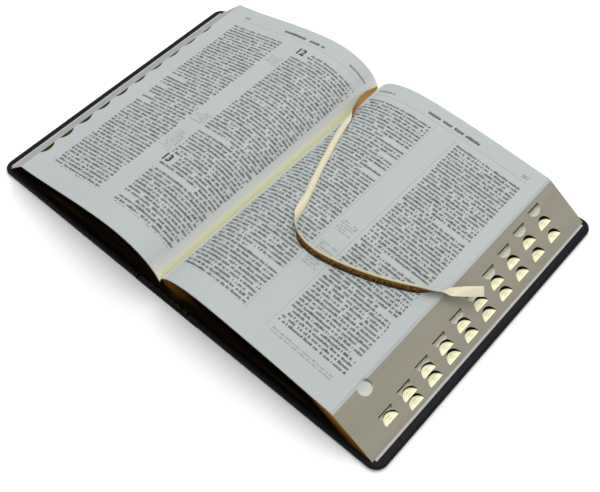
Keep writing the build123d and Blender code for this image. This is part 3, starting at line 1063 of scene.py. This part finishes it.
def makeJoint():
    # thin leather in many cross rows, and double where it is turned in at the ends.
    # It is a hair narrower and higher than the plates it is welded to, so that no faces coincide.
    halfY = skin["halfHeight"] - skin["jointInset"]
    turned = halfY - skin["spineTurnIn"]
    ease, rounding = 0.5 * mm, 0.1 * mm
    # one end of its section, in leather thicknesses high, and then the other end
    loop = [(-halfY + ease, 0.05), (-halfY + rounding, 0.3), (-halfY, 1.0), (-halfY + rounding, 1.7),
            (-halfY + ease, 2.0), (-turned, 2.0), (-turned + ease, 1.0)]
    loop += [(-y, h) for y, h in reversed(loop)]
    points = []
    for i in range(skin["jointRows"]):
        x = skin["jointFrom"] + skin["jointStep"] * i
        points.extend((x, y, h * skin["leather"]) for y, h in loop)
    joint = makeMesh("joint", points, ringFaces(len(loop), skin["jointRows"]), [leather])
    tidyMesh(joint, 0.001 * mm)
    return joint


def makeSkin(side):
    name = "leftSkin" if side < 0 else "rightSkin"
    thick = skin["thick"]
    boardTop = edgeProfile(thick, skin["edgeRoll"])
    boardTop += [(skin["turnIn"] - skin["turnInBevel"], thick),
                 (skin["turnIn"], thick - skin["turnInDepth"])]
    body = ringPlate(name, skin["boardX"], skin["case"], skin["corner"], boardTop)
    joint = makeJoint()
    rows = edgeProfile(skin["spineThick"], skin["spineRoll"])
    spine = ringPlate("spine", 0.0, skin["spineX"], skin["leastCorner"], rows)
    booleanWith(body, joint, "UNION")
    booleanWith(body, spine, "UNION")
    if side < 0:
        body.data.transform(Matrix.Scale(-1, 4, (1, 0, 0)))
        body.data.flip_normals()
    smoothByAngle(body, 42)
    cover = "left_cover" if side < 0 else "right_cover"
    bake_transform(body)
    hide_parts(cover + "_leather")
    return body


skins = {side: makeSkin(side) for side in (-1, 1)}
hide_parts("spine_leather")
print("leather case made", len(skins[1].data.polygons))

# Ribbon marker: woven satin ribbon, following the line it lies on
ribbon = {
    "width": 7.0 * mm, "thick": 0.3 * mm, "hem": 0.5 * mm, "hemThick": 0.55, "clearance": 0.55 * mm,
    "ribSpacing": 0.888 * mm, "warpSpacing": 0.4935 * mm,
    # the route, in mm, and the roll about it in degrees: 0 lies flat, 90 stands on edge
    "points": [
        (-4.8, 118.0, 24.0), (-4.6, 104.0, 24.6), (-1.5, 92.0, 29.2), (2.5, 82.0, 32.2),
        (7.0, 68.0, 34.9), (13.5, 47.0, 37.5), (20.0, 30.0, 38.9), (28.0, 8.0, 40.1),
        (35.0, -8.0, 40.6), (39.0, -20.0, 41.4), (43.5, -31.0, 43.2), (53.5, -41.5, 43.6),
        (70.0, -45.0, 43.4), (88.0, -42.0, 42.4), (105.0, -36.5, 40.4), (122.0, -29.0, 37.6),
        (138.5, -19.5, 34.6), (151.5, -9.5, 31.6), (162.0, 1.4, 30.0), (172.0, 11.6, 28.0),
    ],
    "rolls": [(0, 64), (18, 46), (40, 70), (58, 160), (72, 180), (118, 180), (140, 188), (152, 225),
              (162, 262), (180, 296), (262, 294), (280, 240), (290, 180), (300, 156), (312, 150)],
    # how far it is cupped across its width, in degrees, and how much of its width is spread
    "cups": [(0, 10), (40, 60), (64, 150), (134, 150), (152, 90), (170, 0), (280, 0), (300, 40),
             (312, 30)],
    "spreads": [(0, 0.25), (14, 1.0), (312, 1.0)],
    # where it stands on edge, in mm along it, and how many of its upper lanes take the pale face
    # there as painted light
    "standing": (150, 285), "litLanes": 2, "lanes": 8,
}


def ribbonPath():
    # points read from the route's own spline
    data = bpy.data.curves.new("ribbonRoute", "CURVE")
    data.dimensions = "3D"
    spline = data.splines.new("NURBS")
    spline.points.add(len(ribbon["points"]) - 1)
    for point, place in zip(spline.points, ribbon["points"]):
        point.co = (place[0] * mm, place[1] * mm, place[2] * mm, 1.0)
    spline.order_u = 3
    spline.use_endpoint_u = True
    spline.resolution_u = 14
    route = bpy.data.objects.new("ribbonRoute", data)
    bpy.context.collection.objects.link(route)
    bpy.context.view_layer.update()
    shown = route.evaluated_get(bpy.context.evaluated_depsgraph_get())
    path = [v.co.copy() for v in bpy.data.meshes.new_from_object(shown).vertices]
    bpy.data.objects.remove(route)
    return path


def keyed(name, distance):
    # a value eased between the keys of one list, this far along the ribbon
    keys = ribbon[name]
    for (d0, a0), (d1, a1) in zip(keys, keys[1:]):
        if distance <= d1 * mm:
            share = max(0.0, (distance / mm - d0) / (d1 - d0))
            share = share * share * (3 - 2 * share)
            return a0 + (a1 - a0) * share
    return keys[-1][1]


def satinMaterial(name, thread, pale, sheen, specular, bumpShare, shade, lit=None):
    # polyester satin, woven with long floats over a fine rib. The pale glossy face and the dark gold
    # back are lit and shaded copies of one satin, painted light and painted shade; the back darkens
    # across its width as painted shade
    material, tree, shader = newMaterial(name, specular=specular, Roughness=0.4, Anisotropic=0.5)
    shader.inputs["Sheen Weight"].default_value = sheen
    shader.inputs["Sheen Roughness"].default_value = 0.35
    shader.inputs["Sheen Tint"].default_value = linear("#fff8e2")
    uv = addNode(tree, "ShaderNodeUVMap", uv_map="leafMap")
    # ribs and warp lines are coarser than the real 0.3 mm, so that they show; at scale 1 the
    # bands of a wave are pi / 10 apart
    ribScale = math.pi / 10 / ribbon["ribSpacing"]
    warpScale = math.pi / 10 / ribbon["warpSpacing"]
    ribs = addNode(tree, "ShaderNodeTexWave", uv, ribScale, 0.6, 2.0, 1.5, bands_direction="X")
    warp = addNode(tree, "ShaderNodeTexWave", uv, warpScale, 0.3, 2.0, 1.5, bands_direction="Y")
    split = addNode(tree, "ShaderNodeSeparateXYZ", uv).node.outputs
    mottle = addNode(tree, "ShaderNodeTexNoise", uv, None, scaleOf(1.4286), 2.0)
    known = runSteps(tree, {"ribs": ribs, "warp": warp, "mottle": mottle, "side": split[1]}, [
        ("reach", "ABSOLUTE", "side"),
        ("hem", "GREATER_THAN", "reach", ribbon["width"] / 2 - ribbon["hem"]),
        ("mix", "MULTIPLY_ADD", "ribs", 0.6, 0.1),
        ("weave", "MULTIPLY_ADD", "warp", 0.3, "mix"),
        ("hemmed", "MULTIPLY_ADD", "hem", 0.25, "weave"),
        ("shaded", "MULTIPLY_ADD", "side", -shade / ribbon["width"], "hemmed"),
        ("uneven", "SUBTRACT", "mottle", 0.5),
        ("tone", "MULTIPLY_ADD", "uneven", 0.5 + 2.3 * shade, "shaded"),
        ("height", "MULTIPLY_ADD", "hem", 0.6, "weave"),
    ])
    colour = addNode(tree, "ShaderNodeMix", known["tone"], *unused,
                     linear(thread), linear(pale), **asColour)
    if lit:
        # painted light: where it comes out of the fold the back is painted tan
        start = addNode(tree, "ShaderNodeMapRange", split[0], 30 * mm, 62 * mm, 0.85, 0.0)
        colour = addNode(tree, "ShaderNodeMix", start, *unused, colour, linear(lit), **asColour)
    tree.links.new(colour, shader.inputs["Base Color"])
    bump = addNode(tree, "ShaderNodeBump", bumpShare, 0.12 * mm, None, known["height"])
    tree.links.new(bump, shader.inputs["Normal"])
    return material


satinFaceLit = satinMaterial("creamSatinFaceLit", "#b3aa88", "#dfd8ba", sheen=0.3, specular=0.6,
                          bumpShare=0.3, shade=0.0)
satinBackShadeAndLight = satinMaterial("goldSatinBackShadeAndLight", "#140b02", "#80591b", sheen=0.0, specular=0.12,
                          bumpShare=0.9, shade=1.7, lit="#a98049")


def makeRibbon():
    path = ribbonPath()
    total, halfWidth = [0.0], ribbon["width"] / 2
    for before, here in zip(path, path[1:]):
        total.append(total[-1] + (here - before).length)
    points, faces, maps, slots = [], [], [], []
    lanes = ribbon["lanes"]
    for place, here in enumerate(path):
        ahead = path[min(place + 1, len(path) - 1)] - path[max(place - 1, 0)]
        ahead.normalize()
        flat = ahead.cross(Vector((0, 0, 1))).normalized()
        rise = flat.cross(ahead).normalized()
        roll = math.radians(keyed("rolls", total[place]))
        cup = max(math.radians(keyed("cups", total[place])) / 2, 0.001)
        spread = keyed("spreads", total[place])
        wide = flat * math.cos(roll) + rise * math.sin(roll)
        up = wide.cross(ahead).normalized()
        bend = halfWidth / cup
        for face in (1, -1):
            for lane in range(lanes + 1):
                offset = 2 * lane / lanes - 1
                fullness = 1.0 if 0 < lane < lanes else ribbon["hemThick"]
                radius = bend - face * ribbon["thick"] / 2 * fullness
                across = spread * radius * math.sin(cup * offset)
                arch = radius * math.cos(cup * offset) - bend * math.cos(cup)
                points.append(here + wide * across - up * arch)
                maps.append((total[place], offset * halfWidth))
    ring = 2 * (lanes + 1)
    standsFrom, standsTo = ribbon["standing"]
    for i in range(len(path) - 1):
        a, b = i * ring, (i + 1) * ring
        upright = standsFrom * mm < total[i] < standsTo * mm
        for lane in range(lanes):
            # the upper lanes of the standing stretch take the pale face, as painted light along its
            # top edge
            faces.append([a + lane, a + lane + 1, b + lane + 1, b + lane])
            slots.append(0 if upright and lane < ribbon["litLanes"] else 1)
            low = lanes + 1 + lane
            faces.append([a + low, b + low, b + low + 1, a + low + 1])
            slots.append(0)
        for lane, other in ((0, lanes + 1), (lanes, 2 * lanes + 1)):
            faces.append([a + lane, b + lane, b + other, a + other])
            slots.append(0)
    for a in (0, (len(path) - 1) * ring):
        for lane in range(lanes):
            low = lanes + 1 + lane
            faces.append([a + lane, a + lane + 1, a + low + 1, a + low])
            slots.append(0)
    strip = makeMesh("ribbonMarker", points, faces, [satinFaceLit, satinBackShadeAndLight], slots)
    mapLeaf(strip, maps)
    tidyMesh(strip, 0.001 * mm)
    # nothing sinks into the page
    worst = 0.0
    for vertex in strip.data.vertices:
        floor = pageHeightAt(vertex.co.x) + ribbon["clearance"]
        if vertex.co.y > -section["tail"] or vertex.co.x < section["gutter"][0] + 2 * mm:
            continue
        if vertex.co.z < floor:
            worst = max(worst, floor - vertex.co.z)
            vertex.co.z = floor
    print("ribbon length", round(total[-1] / mm, 1), "lifted by up to", round(worst / mm, 2))
    smoothByAngle(strip, 60)
    return strip, path, total[-1]


ribbonStrip, ribbonLine, ribbonLength = makeRibbon()
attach(ribbonStrip, "book")
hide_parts("ribbon_marker")

# Bands at head and tail: two colours of thread wound over a cord
band = {"depth": 1.6 * mm, "height": 3.4 * mm, "turn": 0.85 * mm, "thread": 0.46 * mm,
        "drawnDown": 1.9 * mm, "steps": 20, "sides": 7, "colourTurns": 4}


def bandMaterial():
    # mercerised cotton thread in two colours, which change every four turns, both painted nearly
    # black: dark thread darkened as painted shade
    material, tree, shader = newMaterial("cottonBandThread", specular=0.05, Roughness=0.5)
    place = addNode(tree, "ShaderNodeTexCoord", out="Object")
    split = addNode(tree, "ShaderNodeSeparateXYZ", place).node.outputs
    known = runSteps(tree, {"x": split[0]}, [
        ("turns", "DIVIDE", "x", band["turn"] * 2 * band["colourTurns"]),
        ("part", "FRACT", "turns"),
        ("second", "GREATER_THAN", "part", 0.5),
    ])
    colour = addNode(tree, "ShaderNodeMix", known["second"], *unused,
                     linear("#0b0906"), linear("#1f170c"), **asColour)
    tree.links.new(colour, shader.inputs["Base Color"])
    twist = addNode(tree, "ShaderNodeTexNoise", place, None, scaleOf(0.3333), 2.0)
    bump = addNode(tree, "ShaderNodeBump", 0.3, 0.05 * mm, None, twist)
    tree.links.new(bump, shader.inputs["Normal"])
    return material


bandThread = bandMaterial()


def makeBand(name, side):
    # each turn is a ring of thread round the cord, drawn down behind the leaves' folds
    y = side * (-section["tail"] + band["depth"] / 2)
    z = section["spineZ"] + band["height"] - band["depth"] / 2
    shape = bmesh.new()
    steps, sides = band["steps"], band["sides"]
    radius = band["depth"] / 2 - band["thread"] * 0.25
    rings = []
    for i in range(steps):
        turn = 2 * math.pi * i / steps
        drop = band["drawnDown"] if math.sin(turn) < -0.3 else 0.0
        centre = Vector((0, radius * math.cos(turn), radius * math.sin(turn) - drop))
        outward = Vector((0, math.cos(turn), math.sin(turn)))
        ring = []
        for j in range(sides):
            bend = 2 * math.pi * j / sides
            out = outward * band["thread"] * 0.5 * math.cos(bend)
            along = Vector((band["thread"] * 0.9 * math.sin(bend), 0, 0))
            ring.append(shape.verts.new(centre + out + along))
        rings.append(ring)
    for i in range(steps):
        one, two = rings[i], rings[(i + 1) % steps]
        for j in range(sides):
            n = (j + 1) % sides
            shape.faces.new([one[j], two[j], two[n], one[n]])
    bmesh.ops.recalc_face_normals(shape, faces=shape.faces)
    turnPiece = bmeshObject("turnPiece", shape, bandThread)
    count = int(2 * section["spineX"] / band["turn"]) - 1
    first = -band["turn"] * (count - 1) / 2
    places = [Vector((first + band["turn"] * k, y, z)) for k in range(count)]
    wound = makeRow(name, turnPiece, places, bandThread)
    bpy.data.objects.remove(turnPiece)
    smoothByAngle(wound, 60)
    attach(wound, "book")


makeBand("headBandThreads", 1)
makeBand("tailBandThreads", -1)
print("bands wound")

# Numbers at the page corners and at the two openings of chapters: plain figures only
figures = [
    {"text": "12", "side": -1, "s": -76.0, "y": 91.5, "size": 9.4, "bold": 0.04},
    {"text": "13", "side": -1, "s": -77.5, "y": -53.0, "size": 9.4, "bold": 0.04},
    {"text": "350", "side": -1, "s": -150.5, "y": 107.2, "size": 4.0, "bold": 0.0},
    {"text": "351", "side": 1, "s": 150.0, "y": 107.2, "size": 4.0, "bold": 0.0},
]
# Offset printing ink: an oil film, nearly black and a little glossier than the paper
inkBlack = newMaterial("printingInk", Roughness=0.5, **{"Base Color": linear(paper["ink"])})[0]
inkLift = 0.03 * mm


def makeFigures():
    # all the figures in one mesh, laid on the curve of the printed leaves
    shape = bmesh.new()
    for figure in figures:
        data = bpy.data.curves.new("figure", "FONT")
        data.body = figure["text"]
        data.size = figure["size"] * mm
        data.offset = figure["bold"] * figure["size"] * mm
        data.resolution_u = 4
        text = bpy.data.objects.new("figure", data)
        bpy.context.collection.objects.link(text)
        bpy.context.view_layer.update()
        shown = text.evaluated_get(bpy.context.evaluated_depsgraph_get())
        flat = bpy.data.meshes.new_from_object(shown)
        bpy.data.objects.remove(text)
        start, side = len(shape.verts), figure["side"]
        shape.from_mesh(flat)
        shape.verts.ensure_lookup_table()
        for vertex in shape.verts[start:]:
            s = abs(figure["s"] * mm + vertex.co.x)
            y = figure["y"] * mm + vertex.co.y
            lift = leafLift(topLeaves[side][-1], s, y, 2.0 + side) + leafSheet["thick"]
            x, z = onPage(side, s, lift + inkLift)
            vertex.co = (x, y, z)
    return bmeshObject("pageFigures", shape, inkBlack)


pageFigures = makeFigures()
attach(pageFigures, "book")
print("figures printed")

# Kept CAD pieces get their own papers and boards
finishes = {"endleaf": endleafPaper, "pastedown": endPaper, "cover_board": greyBoard,
            "spine_inlay": spineCard, "spine_lining": spineCard,
            "head_band": bandThread, "tail_band": bandThread}
for name, obj in nodes.items():
    for ending, material in finishes.items():
        if name.endswith(ending):
            for slot in obj.material_slots:
                slot.material = material
print("kept pieces finished")

# Studio: pale floor, one broad soft light behind the head of the book and a weak sky
studio = {"floor": "#fbfbfb", "floorReach": 6, "floorZ": -0.0002,
          "sky": "#ffffff", "skyStrength": 0.9,
          "key": 10.0, "keySize": 0.9, "keyPlace": (0.1, 0.45, 1.5), "aim": (0.0, 0.0, 0.0)}


def makeStudio():
    # matt white board underfoot
    material, tree, shader = newMaterial("paleFloor", specular=0.1, Roughness=0.9)
    shader.inputs["Base Color"].default_value = linear(studio["floor"])
    reach, z = studio["floorReach"], studio["floorZ"]
    corners = [(-reach, -reach, z), (reach, -reach, z), (reach, reach, z), (-reach, reach, z)]
    floor = makeMesh("floor", corners, [[0, 1, 2, 3]], [material])
    world = bpy.data.worlds.new("sky")
    world.use_nodes = True
    background = world.node_tree.nodes["Background"]
    background.inputs["Color"].default_value = linear(studio["sky"])
    background.inputs["Strength"].default_value = studio["skyStrength"]
    bpy.context.scene.world = world
    light = bpy.data.lights.new("key", "AREA")
    light.energy = studio["key"]
    light.size = studio["keySize"]
    lamp = bpy.data.objects.new("key", light)
    lamp.location = studio["keyPlace"]
    toward = Vector(studio["aim"]) - Vector(studio["keyPlace"])
    lamp.rotation_euler = toward.to_track_quat("-Z", "Y").to_euler()
    bpy.context.collection.objects.link(lamp)
    bpy.context.scene.view_settings.view_transform = "Standard"


makeStudio()
print("studio lit")
